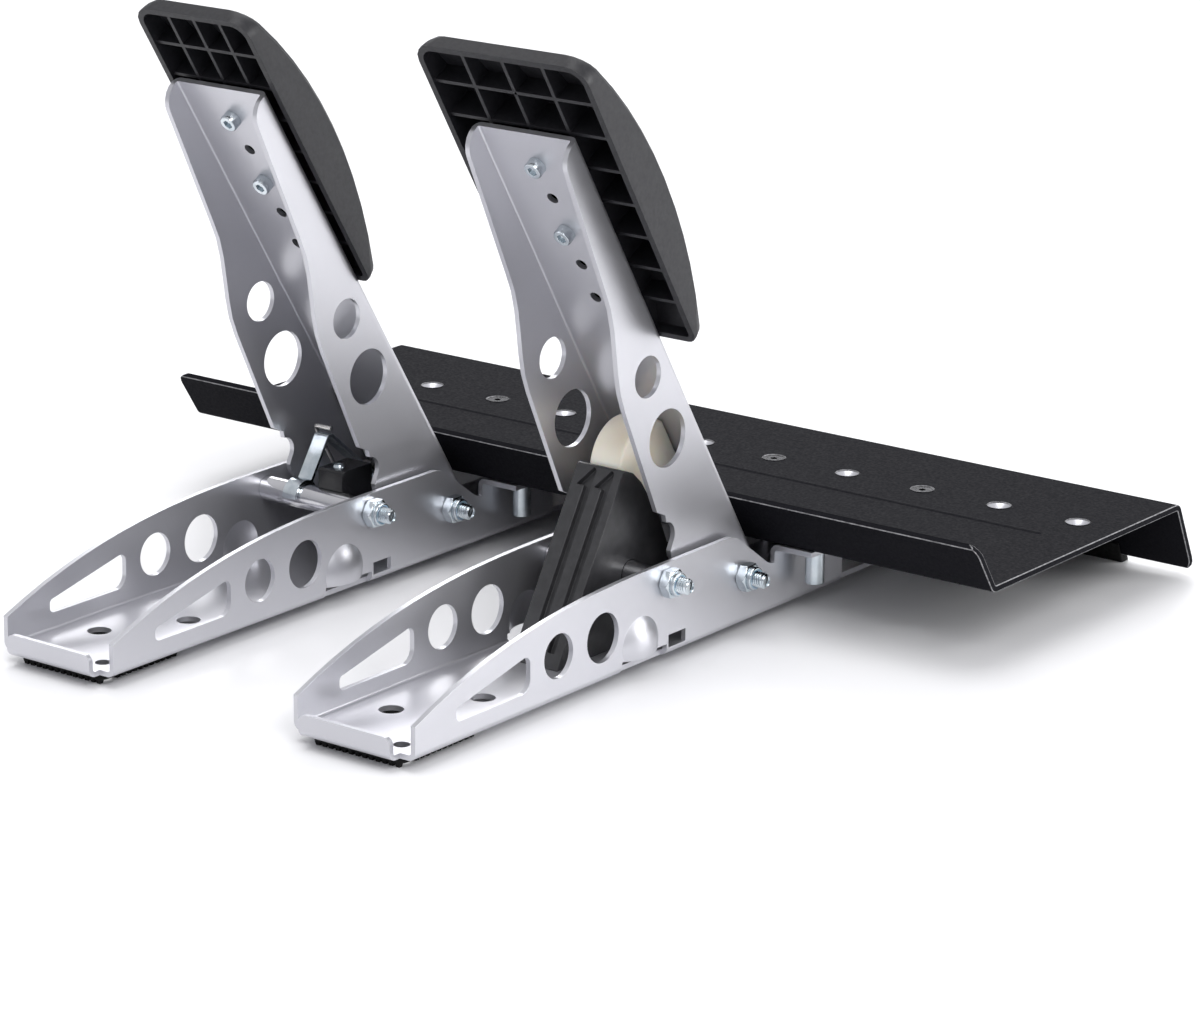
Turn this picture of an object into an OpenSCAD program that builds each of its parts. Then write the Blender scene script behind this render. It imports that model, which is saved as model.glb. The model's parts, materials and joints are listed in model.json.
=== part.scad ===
// Pedal set for a driving simulator: two folded steel rails, each with a hinged pedal,
// joined by a folded heel plate. X runs across the pedals with the throttle at +X,
// Y runs forward away from the driver, Z is up, and the set stands on Z = 0.

/* [Layout] */
// Distance between two neighbouring holes of the heel plate
hole_pitch = 35; // [30:1:40]
// Distance between the two pedals, counted in heel plate holes
pedal_steps = 4; // [4:1:6]
// Height of the rails above the ground, on their rubber pads
rail_lift = 4.3; // [3.5:0.1:8]

/* [Rails] */
// Outside width of a rail
rail_w = 54.6; // [53:0.2:60]
// Thickness of the rail sheet
rail_t = 2; // [1.5:0.1:2.5]
// Outer radius of the rail's bends
rail_bend = 3; // [2.6:0.1:4]
// Distance from the pedal hinge to the front end of the walls
rail_front = 191; // [188:1:210]
// Distance from the pedal hinge to the rear end of the rail
rail_rear = 116; // [114:1:130]
// How far the front lip stands before the walls
lip_reach = 5.5; // [4:0.5:10]
// Width of the front lip
lip_w = 41; // [30:1:46]
// Height of the front lip
lip_h = 8.7; // [5:0.1:12]
// Height of the walls at their front end
nose_h = 12.7; // [11.5:0.1:16]
// Greatest height of the walls
crest_h = 35.7; // [34:0.1:38]
// Where the crest starts to fall towards the front, from the hinge
crest_front = 45; // [40:1:60]
// Centre of the round end of the crest, from the hinge
crest_rear = 10; // [8:1:14]
// Radius of the round end of the crest
crest_r = 12.5; // [8:0.5:14]
// How steeply the crest drops behind the hinge, in degrees
crest_drop = 36; // [30:1:42]
// Height of the low wall behind the hinge
tail_h = 19; // [17:0.5:21]
// Height of the top of the ears that carry the heel plate
ear_h = 25.8; // [23:0.1:28]
// Width of an ear, from the wall's outer face
ear_w = 16.7; // [13:0.1:17]
// Distance from the hinge back to the front end of the ears
ear_front = 20; // [18:0.5:24]
// Height of the hinge bolt
hinge_h = 18.7; // [17.5:0.1:20]
// Distance from the hinge to the front bolt
front_bolt_y = 47.7; // [46:0.1:50]
// Height of the front bolt
front_bolt_h = 28.4; // [26:0.1:29.5]
// Radius of the front round hole of a wall
hole_a_r = 8.3; // [5:0.1:9]
// Place of the front round hole, from the hinge
hole_a_y = 111.6; // [108:0.1:114]
// Radius of the rear round hole of a wall
hole_b_r = 9.3; // [5:0.1:10]
// Place of the rear round hole, from the hinge
hole_b_y = 85.9; // [85:0.1:89]
// Height of both round holes
hole_h = 17; // [15:0.1:18.5]
// Radius of the pressed dome at the foot of a wall
dome_r = 10.8; // [8:0.1:11]
// How far the pressed dome stands out
dome_h = 3.8; // [3:0.1:5]
// Place of the pressed dome, from the hinge
dome_y = 63.5; // [62:0.1:65]
// Diameter of the holes in the floor for bolting the rail down
floor_hole_d = 9; // [6:0.5:11]

/* [Heel plate] */
// Number of holes in each row
plate_holes = 11; // [9:2:13]
// Distance from the last hole to the end of the plate
plate_margin = 18; // [12:1:25]
// Thickness of the plate
plate_t = 2.5; // [2.3:0.1:3]
// Radius inside the plate's bends
plate_bend = 1.5; // [1:0.5:4]
// Distance from the hinge back to the fold at the front of the plate
plate_front = 22.2; // [22:0.1:24]
// Distance from the hinge back to the fold at the rear of the plate
plate_rear = 153; // [135:0.5:170]
// How far the front lip rises above the plate
plate_lip_h = 17.9; // [9:0.1:24]
// How far the front lip leans forward
plate_lip_lean = 11.7; // [5:0.1:13]
// How far the rear leg leans backward
plate_leg_lean = 13; // [8:0.1:25]
// Height of the rear leg's lower edge above the ground
plate_leg_gap = 4.6; // [2.5:0.1:6]
// Distance from the hinge back to the front row of holes
row_front = 35.3; // [33:0.1:38]
// Distance between the two rows of holes
row_gap = 72.5; // [60:0.5:75]
// Diameter of a countersink
sink_d = 9.4; // [8.5:0.1:9.6]
// Diameter of the plate screws
plate_screw_d = 5; // [4.8:0.1:5]
// Diameter of a threaded post
post_d = 7.2; // [7:0.1:9]
// Length of a threaded post
post_len = 15; // [10:0.1:16]
// Distance from the end of the rubber edge strip to the end of the plate
strip_margin = 31; // [12:1:60]

/* [Pedal arms] */
// Gap between an arm and the inner face of its rail, on each side
arm_side_gap = 2.8; // [2.2:0.1:3.2]
// Thickness of the arm sheet
arm_t = 2; // [1.5:0.1:2.2]
// Length of an arm from its hinge to its top
arm_len = 204; // [200:1:230]
// Distance from the hinge to the back of the web
arm_back = 14.5; // [14:0.1:16]
// Lean of the throttle arm at rest, forward from upright, in degrees
throttle_lean = 32.6; // [30:0.1:34]
// Lean of the brake arm at rest, forward from upright, in degrees
brake_lean = 31.8; // [31:0.1:33]
// Travel of the throttle arm, in degrees
throttle_travel = 18; // [12:1:18]
// Depth of an arm at its top, from the hinge line
arm_edge = -4.2; // [-7:0.1:0]
// How much deeper an arm gets for each millimetre down
arm_taper = 0.115; // [0.09:0.005:0.13]
// Extra depth of the lower part of an arm
arm_step = 9.1; // [6:0.1:10]
// Radius of the upper round hole
arm_hole_a_r = 7.8; // [4:0.1:8.5]
// Height of the upper round hole
arm_hole_a_s = 102.3; // [100:0.1:106]
// Radius of the lower round hole
arm_hole_b_r = 10.9; // [6:0.1:11.2]
// Height of the lower round hole
arm_hole_b_s = 74.4; // [72:0.1:76]
// Distance between two neighbouring holes for the pad
pad_hole_pitch = 16; // [15:0.5:16.5]
// Distance from the top of the arm to the first hole for the pad
pad_hole_top = 14.7; // [12:0.1:16]

/* [Pads] */
// Width of the throttle pad
throttle_pad_w = 54.5; // [46:0.5:70]
// Width of the brake pad
brake_pad_w = 75; // [60:1:90]
// Height of a pad
pad_h = 129; // [110:1:135]
// How far a pad stands above the top of its arm
pad_over = 33.5; // [20:0.5:40]
// Depth of a pad at its upper and lower ends
pad_end = 5.8; // [5:0.1:9]
// Greatest depth of a pad
pad_deep = 19; // [14:0.5:22]
// Radius of a pad's upper corners, seen from behind
pad_corner = 8; // [4:0.5:12]
// Radius of a pad's lower corners, seen from behind
pad_foot_corner = 4; // [3.5:0.5:12]
// Wall of a pad
pad_wall = 2.5; // [1.5:0.1:3]
// Thickness of the ribs behind a pad
pad_rib = 1.5; // [1:0.1:2]
// Number of rows of cells behind a pad
pad_rows = 8; // [5:1:10]
// Number of columns of cells behind a pad
pad_cols = 4; // [2:2:6]

/* [Bolts] */
// Diameter of the hinge bolts and front bolts
bolt_d = 6; // [5:0.5:6.5]
// Width across flats of their heads and nuts
bolt_af = 10; // [9:0.5:11]
// How far a bolt reaches past the outside of the rail
bolt_tail = 10.5; // [9.5:0.5:14]
// Outside diameter of the hinge sleeves
sleeve_d = 12; // [11:0.5:12.5]
// Outside diameter of the cross tubes at the front bolts
cross_d = 10; // [9:0.5:10.5]
// Outside diameter of the bush collars and washers
washer_d = 18; // [17:0.5:20]
// Diameter of the pad screws
pad_screw_d = 4; // [3:0.5:4.5]
// Diameter of the heads of the pad screws
pad_screw_head = 7; // [6.5:0.5:8]

/* [Throttle mechanism] */
// Thickness of the spring wire
wire_d = 1.9; // [1.6:0.1:2]
// Mean radius of the return spring
coil_r = 10.4; // [9.5:0.1:10.6]
// Number of turns of the return spring
spring_turns = 2; // [2:1:4]
// Length of the spring leg that lies on the arm
spring_leg = 44; // [30:1:60]
// Width of the folded spring saddle
saddle_w = 6.8; // [4:0.1:8]
// Thickness of the saddle strip
saddle_t = 1.5; // [1:0.1:1.8]
// How high the saddle's fold stands above the hinge
saddle_rise = 32.8; // [28:0.1:36]
// Distance from the hinge forward to the saddle's fold
saddle_reach = 33.3; // [27:0.1:35]
// Width of the sensor box
sensor_w = 12; // [8:0.5:12]
// Depth of the sensor box
sensor_l = 17.8; // [14:0.1:18]
// Height of the top of the sensor box above the front bolt
sensor_top = 13.1; // [11:0.1:16]

/* [Brake mechanism] */
// Width of the elastomer holder
holder_w = 21; // [19:0.5:30]
// Height of the top of the holder above the ground
holder_top = 72.6; // [70:0.1:74]
// Place of the upper front edge of the holder, from the hinge
holder_edge = 52; // [51.5:0.1:54]
// Lean of the holder's front face, in degrees
holder_lean = 30.5; // [27:0.5:33]
// Radius of the elastomer
elastomer_r = 17.5; // [14:0.1:17.7]
// Thickness of the elastomer
elastomer_w = 14; // [10:0.5:14.5]
// Place of the elastomer's centre, from the hinge
elastomer_y = 32.5; // [31.5:0.1:33]
// Height of the elastomer's centre above the ground
elastomer_z = 69; // [68:0.1:70]

/* [Hidden] */
$fn = 48;
fit = 0.05;    // radial clearance of a running fit or a seat
gap = 0.3;     // clearance between curved faces that only meet
eps = 0.01;

// Places that follow from the driving sizes
throttle_x = pedal_steps*hole_pitch/2;
brake_x = -throttle_x;
rail_in = rail_w/2 - rail_t;
hinge_z = rail_lift + hinge_h;
front_bolt_z = rail_lift + front_bolt_h;
ear_top = rail_lift + ear_h;
floor_z = rail_lift + rail_t;
plate_z = ear_top + plate_t;
plate_len = (plate_holes - 1)*hole_pitch + 2*plate_margin;
nose_y = rail_front + lip_reach;
leg_dir = unit([-plate_leg_lean, plate_leg_gap - plate_z]);
strip_skin = 1;
leg_out = [leg_dir[1], -leg_dir[0]];
tail_y = plate_rear + plate_leg_lean - leg_out[0]*strip_skin
  + leg_dir[0]/leg_dir[1]*(plate_leg_gap + leg_out[1]*strip_skin);
// The set is centred on Y = 0 between the rail lips and the rear leg's strip
hinge_y = (tail_y - nose_y)/2;
row_y = [-row_front, -row_front - row_gap];
bolt_r = bolt_d/2;
sleeve_r = sleeve_d/2;
cross_r = cross_d/2;
collar_t = 1.2;
arm_w = 2*(rail_in - arm_side_gap);
washer_t = arm_side_gap - collar_t - 0.1;
bush_r = sleeve_r + 1.5;

// Plane helpers
function unit(v) = v/norm(v);
function turn(a, p) = [cos(a)*p[0] - sin(a)*p[1], sin(a)*p[0] + cos(a)*p[1]];
function smooth(t) = let (u = min(1, max(0, t))) u*u*(3 - 2*u);

// Arc that rounds corner b, between a and c, with radius r
function corner(a, b, c, r, n = 5) =
  let (u = unit(a - b), v = unit(c - b), half = acos(u*v)/2,
       mid = b + unit(u + v)*r/sin(half), p = b + u*r/tan(half), q = b + v*r/tan(half))
  [for (i = [0:n]) mid + r*unit((p - mid)*(1 - i/n) + (q - mid)*i/n)];

// Closed outline from points [x, y, radius]
function rounded(pts, n = 5) =
  let (m = len(pts), xy = [for (p = pts) [p[0], p[1]]])
  [for (i = [0:m - 1])
    each pts[i][2] > 0
      ? corner(xy[(i + m - 1)%m], xy[i], xy[(i + 1)%m], pts[i][2], n)
      : [xy[i]]];

// Closed outline of a folded sheet: path of its outer corners, thickness to the left of the
// path, inner radius of the bends
function folded(path, t, r) =
  let (m = len(path) - 1,
       dirs = [for (i = [0:m - 1]) unit(path[i + 1] - path[i])],
       left = [for (d = dirs) [-d[1], d[0]]],
       inner = [for (i = [0:m])
         i == 0 ? path[0] + left[0]*t
         : i == m ? path[m] + left[m - 1]*t
         : path[i] + t*(left[i - 1] + left[i])/(1 + left[i - 1]*left[i])],
       bend = [for (i = [0:m])
         i == 0 || i == m ? 0 : dirs[i - 1][0]*dirs[i][1] - dirs[i - 1][1]*dirs[i][0]])
  rounded(concat(
    [for (i = [0:m]) [path[i][0], path[i][1], bend[i] == 0 ? 0 : bend[i] > 0 ? r + t : r]],
    [for (i = [m:-1:0]) [inner[i][0], inner[i][1], bend[i] == 0 ? 0 : bend[i] > 0 ? r : r + t]]));

// Solid helpers: outlines are drawn in the plane that each one names
module across(w) {
  rotate([90, 0, 90]) linear_extrude(w, center = true) children();
}
module along(y0, y1) {
  translate([0, y1, 0]) rotate([90, 0, 0]) linear_extrude(y1 - y0) children();
}
module rod(y, z, r, w) {
  translate([0, y, z]) rotate([0, 90, 0]) cylinder(r = r, h = w, center = true);
}
module both_sides() {
  children();
  mirror([1, 0, 0]) children();
}
module at_base(x) {
  translate([x, hinge_y, 0]) children();
}
module on_arm(x, lean) {
  at_base(x) translate([0, 0, hinge_z]) rotate([-lean, 0, 0]) children();
}

// Colours of the finishes
steel = [0.80, 0.80, 0.82];
bright = [0.88, 0.90, 0.92];
black = [0.09, 0.09, 0.10];
rubber = [0.05, 0.05, 0.05];
cream = [0.96, 0.87, 0.76];

// Rails
function crest(y) =
  crest_h - (crest_h - nose_h)*pow((y - crest_front)/(rail_front - crest_front), 2.65);

drop_dir = [-cos(crest_drop), -sin(crest_drop)];
drop_start = [crest_rear, crest_h - crest_r] + crest_r*[-sin(crest_drop), cos(crest_drop)];
drop_end = drop_start + drop_dir*(drop_start[1] - tail_h)/sin(crest_drop);

function wall_outline() = concat(
  [[-rail_rear, 0], [rail_front, 0]],
  [for (i = [0:14]) let (y = rail_front + (crest_front - rail_front)*i/14) [y, crest(y)]],
  [for (i = [0:5]) let (a = 90 + crest_drop*i/5)
    [crest_rear, crest_h - crest_r] + crest_r*[cos(a), sin(a)]],
  corner(drop_start, drop_end, [-rail_rear, tail_h], 8),
  [[-rail_rear, tail_h]]);

window_low = 8.2;
function window_outline() = rounded([
  [hole_a_y + 16.2, window_low, 5],
  [hole_a_y + 57.2, window_low, 2],
  [hole_a_y + 57.2, crest(hole_a_y + 57.2) - 7.6, 1.6],
  [hole_a_y + 16.2, crest(hole_a_y + 16.2) - 8.4, 3]]);

module channel(w, tall, t, r) {
  polygon(rounded([
    [-w/2, tall, 0], [-w/2, 0, r], [w/2, 0, r], [w/2, tall, 0],
    [w/2 - t, tall, 0], [w/2 - t, t, r - t], [t - w/2, t, r - t], [t - w/2, tall, 0]]));
}

// Cap of a ball that bulges out of the +X wall
module dome_cap(skin) {
  ball_r = (dome_r*dome_r + dome_h*dome_h)/(2*dome_h);
  intersection() {
    translate([rail_w/2 + dome_h - ball_r, dome_y, dome_z]) sphere(r = ball_r - skin, $fn = 64);
    translate([rail_w/2 - rail_t - skin, dome_y - dome_r - 1, relief_h])
      cube([dome_h + 2*rail_t, 2*dome_r + 2, dome_z + dome_r]);
  }
}
dome_z = 8.4;
relief_h = 4.6;
notch_front = 65;
notch_len = 25;
notch_h = 14.7;
slot_y = [36.1, 46.5];
slot_h = [3, 7.8];

module ear_profile() {
  polygon(rounded([
    [rail_w/2, tail_h - 1, 0], [rail_w/2, ear_h - rail_t, rail_bend - rail_t],
    [rail_w/2 + ear_w, ear_h - rail_t, 0], [rail_w/2 + ear_w, ear_h, 0],
    [rail_in, ear_h, rail_bend], [rail_in, tail_h - 1, 0]]));
}

module rail_body() {
  intersection() {
    along(-rail_rear, rail_front) channel(rail_w, crest_h + 1, rail_t, rail_bend);
    across(rail_w + 2) polygon(wall_outline());
  }
  both_sides() along(-rail_rear, -ear_front) ear_profile();
  both_sides() dome_cap(0);
  // Front lip, folded up from a tongue of the floor
  intersection() {
    across(lip_w) polygon(folded([
      [rail_front - 10, 0], [nose_y, 0], [nose_y, lip_h]], rail_t, rail_bend - rail_t));
    along(rail_front - 11, nose_y + 1) polygon(rounded([
      [-lip_w/2, -1, 0], [lip_w/2, -1, 0], [lip_w/2, lip_h, 3], [-lip_w/2, lip_h, 3]]));
  }
}

// One rail: a channel with a falling crest, ears, a dome pressed out of each wall and cut-outs
module rail() {
  translate([0, 0, rail_lift]) difference() {
    rail_body();
    both_sides() dome_cap(rail_t);
    rod(hole_a_y, hole_h, hole_a_r, rail_w + 2);
    rod(hole_b_y, hole_h, hole_b_r, rail_w + 2);
    across(rail_w + 2) polygon(window_outline());
    rod(0, hinge_h, bolt_r + fit, rail_w + 2);
    rod(front_bolt_y, front_bolt_h, bolt_r + fit, rail_w + 2);
    both_sides() {
      // Bend relief under the dome, slot behind it, notch in the tail
      translate([rail_w/2 - rail_bend, slot_y[1] + 1, -1])
        cube([rail_bend + 1, dome_y + dome_r - slot_y[1] - 1, relief_h + 1]);
      translate([rail_in - 1, slot_y[0], slot_h[0]])
        cube([rail_t + 2, slot_y[1] - slot_y[0], slot_h[1] - slot_h[0]]);
      translate([rail_w/2 - rail_bend, -notch_front - notch_len, -1])
        cube([rail_bend + 1, notch_len, notch_h + 1]);
      for (y = row_y) translate([hole_pitch, y, 0]) cylinder(r = plate_screw_d/2 + 0.1, h = ear_h + 1);
    }
    for (p = floor_holes) translate([p[0], p[1], -1]) cylinder(d = floor_hole_d, h = rail_t + 2);
    translate([-lip_w/2 + 5, rail_front - 7, -1]) cylinder(d = 6, h = rail_t + 2);
  }
}
floor_holes = [[10.4, rail_front - 32.4], [-7, rail_front - 62]];

module rail_pad() {
  front_y = rail_front - 1;
  long = 42;
  difference() {
    translate([0, front_y - long/2, 0]) linear_extrude(rail_lift)
      polygon(rounded([[-lip_w/2, -long/2, 3], [lip_w/2, -long/2, 3],
        [lip_w/2, long/2, 3], [-lip_w/2, long/2, 3]]));
    translate([floor_holes[0][0], floor_holes[0][1], -1]) cylinder(d = floor_hole_d, h = rail_lift + 2);
    translate([-lip_w/2 + 5, rail_front - 7, -1]) cylinder(d = 6, h = rail_lift + 2);
  }
}

module posts() {
  for (x = [-hole_pitch, hole_pitch], y = row_y)
    translate([x, y, ear_top - rail_t - post_len]) difference() {
      cylinder(d = post_d, h = post_len);
      translate([0, 0, -1]) cylinder(r = plate_screw_d/2 + fit, h = post_len + 2);
    }
}

// Hexagon across flats, with its axis along X
module hex(x0, x1, af) {
  translate([x0, 0, 0]) rotate([0, 90, 0]) cylinder(d = af/cos(30), h = x1 - x0, $fn = 6);
}

bolt_head_h = 4;
module cross_bolt(y, z) {
  translate([0, y, z]) difference() {
    union() {
      hex(rail_w/2, rail_w/2 + bolt_head_h, bolt_af);
      translate([-rail_w/2 - bolt_tail + 1, 0, 0]) rotate([0, 90, 0])
        cylinder(r = bolt_r, h = rail_w + bolt_tail - 1 + eps);
      translate([-rail_w/2 - bolt_tail, 0, 0]) rotate([0, 90, 0])
        cylinder(r1 = bolt_r - 0.8, r2 = bolt_r, h = 1 + eps);
    }
    translate([rail_w/2 + bolt_head_h - 0.6, 0, 0]) rotate([0, 90, 0])
      cylinder(r = bolt_af*0.36, h = 1);
  }
}

nut_h = 4.2;
collar_h = 1.8;
module nut(y, z) {
  translate([-rail_w/2, y, z]) difference() {
    union() {
      translate([-nut_h, 0, 0]) hex(0, nut_h, bolt_af);
      translate([-nut_h - collar_h, 0, 0]) rotate([0, 90, 0])
        cylinder(r1 = bolt_af/2 - 1.2, r2 = bolt_af/2 - 0.3, h = collar_h + eps);
    }
    translate([-nut_h - collar_h - 1, 0, 0]) rotate([0, 90, 0])
      cylinder(r = bolt_r + fit, h = nut_h + collar_h + 2);
  }
}

module tube(y, z, r_out, r_in, w) {
  difference() {
    rod(y, z, r_out, w);
    rod(y, z, r_in, w + 2);
  }
}

module washers() {
  for (s = [-1, 1]) translate([s*(rail_in - washer_t/2), 0, 0])
    tube(0, hinge_z, washer_d/2, sleeve_r + fit, washer_t);
}

// Flanged bushes of the arm, drawn about the hinge
module bushes() {
  for (s = [-1, 1]) {
    translate([s*(arm_w/2 + collar_t/2), 0, 0]) tube(0, 0, washer_d/2, sleeve_r + fit, collar_t);
    translate([s*(arm_w/2 - arm_t/2), 0, 0]) tube(0, 0, bush_r, sleeve_r + fit, arm_t);
  }
}

// Pedal arms, drawn upright: the hinge is the origin, Y is depth and Z runs along the web
function arm_depth(s) =
  arm_edge + arm_taper*(arm_len - s) + arm_step*smooth((142 - s)/40);

// Path that the cross tube takes through the flange as the pedal goes down
tube_reach = norm([front_bolt_y, front_bolt_h - hinge_h]);
tube_angle = atan2(front_bolt_h - hinge_h, front_bolt_y);
// Where a flange ends above that path: its outer corner's height and its inner end
notch_s = (tube_reach + cross_r + 5.8)*sin(67.2);
notch_end = (tube_reach + cross_r)*[cos(69.2), sin(69.2)];
arm_top_run = 12;
arm_top_r = 8;
foot_front = [24.5, 34];
foot_low = [22, 14];

function arm_outline() = concat(
  [[-arm_back, 0], [-arm_back, arm_len]],
  corner([-arm_back, arm_len], [arm_depth(arm_len), arm_len],
    [arm_depth(arm_len - arm_top_run), arm_len - arm_top_run], arm_top_r),
  [for (i = [0:18]) let (s = arm_len - arm_top_run - (arm_len - arm_top_run - notch_s)*i/18)
    [arm_depth(s), s]],
  [notch_end, foot_front],
  corner(foot_front, foot_low, arm_back*[cos(-45), sin(-45)], 10),
  [for (i = [0:8]) let (a = -45 - 135*i/8) arm_back*[cos(a), sin(a)]]);

module tube_path() {
  clear = cross_r + gap;
  stop = tube_angle + throttle_lean + throttle_travel;
  difference() {
    circle(r = tube_reach + clear);
    circle(r = tube_reach - clear);
    polygon([[0, 0], 99*[cos(stop), sin(stop)], [-99, 99], [-99, -99], [0, -99]]);
  }
  translate(tube_reach*[cos(stop), sin(stop)]) circle(r = clear);
}

module arm() {
  web_low = 4;
  difference() {
    intersection() {
      translate([0, -arm_back, 0]) linear_extrude(2*arm_len, center = true)
        channel(arm_w, 60, arm_t, arm_t + 0.8);
      across(arm_w + 2) polygon(arm_outline());
    }
    across(arm_w + 2) tube_path();
    rod(0, 0, bush_r + fit, arm_w + 2);
    rod(0, arm_hole_a_s, arm_hole_a_r, arm_w + 2);
    rod(3.1, arm_hole_b_s, arm_hole_b_r, arm_w + 2);
    translate([-arm_w/2 + arm_t, -arm_back - 1, -arm_back - 1])
      cube([arm_w - 2*arm_t, arm_back, arm_back + 1 + web_low]);
    for (i = [0:4]) translate([0, -arm_back - 1, pad_hole(i)]) rotate([-90, 0, 0])
      cylinder(r = pad_screw_d/2 + 0.3, h = arm_t + 2);
  }
}
function pad_hole(i) = arm_len - pad_hole_top - i*pad_hole_pitch;

// Pads, drawn with their arm: the rim lies on the back of the web
pad_top_s = arm_len + pad_over;
pad_low_s = pad_top_s - pad_h;
pad_rim = -arm_back;
pad_sag = pad_deep - pad_end;
pad_r = (pad_h*pad_h/4 + pad_sag*pad_sag)/(2*pad_sag);
function pad_face(s) = pad_rim - pad_deep + pad_r - sqrt(pad_r*pad_r - pow(s - pad_top_s + pad_h/2, 2));

// How far a corner of radius r draws a side in, at distance d from the end
function drawn_in(r, d) = d < r ? r - sqrt(r*r - (r - d)*(r - d)) : 0;

// Outline across a pad at height s
function pad_slice(s, w) =
  let (f = pad_face(s), draft = 0.8, edge = 2.2,
       h = w/2 - drawn_in(pad_corner, pad_top_s - s) - drawn_in(pad_foot_corner, s - pad_low_s))
  [[-h, pad_rim, s], [-h, pad_rim - 1.8, s], [-h + draft, f + edge, s], [-h + draft + edge, f, s],
   [h - draft - edge, f, s], [h - draft, f + edge, s], [h, pad_rim - 1.8, s], [h, pad_rim, s]];

// Heights of a pad's slices, closer together round its corners
function pad_heights() =
  let (low = pad_low_s + pad_foot_corner, high = pad_top_s - pad_corner, n = 10)
  concat(
    [for (a = [0:22.5:67.5]) pad_low_s + pad_foot_corner*(1 - cos(a))],
    [for (i = [0:n]) low + (high - low)*i/n],
    [for (a = [67.5:-22.5:0]) pad_top_s - pad_corner*(1 - cos(a))]);

module loft(slices) {
  n = len(slices[0]);
  m = len(slices);
  polyhedron(
    points = [for (s = slices) each s],
    faces = concat(
      [[for (k = [0:n - 1]) k]],
      [for (j = [0:m - 2], k = [0:n - 1]) let (a = j*n + k, b = j*n + (k + 1)%n) each
        [[a, a + n, b + n], [a, b + n, b]]],
      [[for (k = [n - 1:-1:0]) (m - 1)*n + k]]));
}

// Cells behind a pad: its hollow, less the ribs and the two screw bosses
module pad_cells(w) {
  cuts = 12;
  rib_set = 1.5;
  low = pad_low_s + pad_wall;
  high = pad_top_s - pad_wall;
  half = w/2 - pad_wall;
  cell_w = 2*half/pad_cols;
  cell_h = (high - low)/pad_rows;
  difference() {
    intersection() {
      across(w) polygon(concat(
        [for (i = [0:cuts]) let (s = pad_top_s - pad_h*i/cuts) [pad_face(s) + pad_wall, s]],
        [[pad_rim + 1, pad_low_s], [pad_rim + 1, pad_top_s]]));
      along(pad_rim - pad_deep, pad_rim + 2) polygon(rounded([
        [-half, low, pad_foot_corner - pad_wall], [half, low, pad_foot_corner - pad_wall],
        [half, high, pad_corner - pad_wall], [-half, high, pad_corner - pad_wall]]));
    }
    for (i = [1:pad_cols - 1])
      translate([i*cell_w - half - pad_rib/2, pad_rim - pad_deep, low - 1])
        cube([pad_rib, pad_deep - rib_set, pad_h]);
    for (i = [1:pad_rows - 1]) translate([-w/2, pad_rim - pad_deep, low + i*cell_h - pad_rib/2])
      cube([w, pad_deep - rib_set, pad_rib]);
    for (i = [0, 2]) translate([0, pad_rim - pad_deep, pad_hole(i)]) rotate([-90, 0, 0])
      cylinder(r = pad_screw_d/2 + 2.2, h = pad_deep);
  }
}

module pad(w) {
  difference() {
    loft([for (s = pad_heights()) pad_slice(s, w)]);
    pad_cells(w);
    for (i = [0, 2]) translate([0, pad_rim - pad_screw_grip, pad_hole(i)]) rotate([-90, 0, 0])
      cylinder(r = pad_screw_d/2 + fit, h = pad_screw_grip + 1);
  }
}
pad_screw_grip = 9;

module pad_screws() {
  head_y = -arm_back + arm_t;
  for (i = [0, 2]) translate([0, head_y, pad_hole(i)]) rotate([-90, 0, 0]) difference() {
    union() {
      cylinder(d = pad_screw_head, h = pad_screw_d);
      translate([0, 0, -arm_t - pad_screw_grip + 0.5])
        cylinder(d = pad_screw_d, h = arm_t + pad_screw_grip);
    }
    translate([0, 0, pad_screw_d/2]) cylinder(d = pad_screw_d*0.85, h = pad_screw_d, $fn = 6);
  }
}

// Return spring of the throttle, drawn about the hinge in the frame of the resting arm:
// one unbroken wire with a leg on the web, turns round the sleeve and a leg hooked on the saddle
wire_r = wire_d/2;
coil_x0 = arm_w/2 - arm_t - wire_r - 0.4;
coil_pitch = wire_d + 0.45;
coil_x1 = coil_x0 - coil_pitch*(spring_turns + 0.5);
saddle_x = coil_x1 - wire_r - gap - saddle_w/2;
apex = [saddle_reach, saddle_rise];
leg_top = [-arm_back + arm_t + wire_r + 0.05, spring_leg];
hook = turn(throttle_lean, apex + [0, wire_r + 0.1]);
hook_r = 2;
hook_dir = unit(hook - [coil_r, 0]);

function wire_path() = concat(
  [for (i = [0:3]) let (p = leg_top + ([-coil_r, 0] - leg_top)*i/4) [coil_x0, p[0], p[1]]],
  [for (i = [0:8*spring_turns + 4]) let (a = 180 + 45*i)
    [coil_x0 - coil_pitch*i/8, coil_r*cos(a), coil_r*sin(a)]],
  [for (i = [1:3]) let (p = [coil_r, 0] + (hook - [coil_r, 0] - hook_r*hook_dir)*i/3)
    [coil_x1, p[0], p[1]]],
  [for (a = [30, 60, 90]) let (p = hook - hook_r*(1 - sin(a))*hook_dir)
    [coil_x1 - hook_r*(1 - cos(a)), p[0], p[1]]],
  [[coil_x1 - hook_r - saddle_w, hook[0], hook[1]]]);

// Ring of six points round one point of the wire
function wire_ring(p, dir) =
  let (u = unit(cross(dir, [0.3, 1, 0.001])), v = cross(dir, u))
  [for (k = [0:5]) p + wire_r*(cos(60*k)*u + sin(60*k)*v)];

function path_dir(path, i) =
  unit(path[min(i + 1, len(path) - 1)] - path[max(i - 1, 0)]);

wire = wire_path();
// Least gap between turns of the wire, measured between points of its path
wire_gap = min([for (i = [0:len(wire) - 1], j = [i + 5:1:len(wire) - 1])
  norm(wire[i] - wire[j])]) - wire_d;
echo(wire_gap = wire_gap);

module spring() {
  rings = [for (i = [0:len(wire) - 1]) wire_ring(wire[i], path_dir(wire, i))];
  loft(rings);
}

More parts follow.
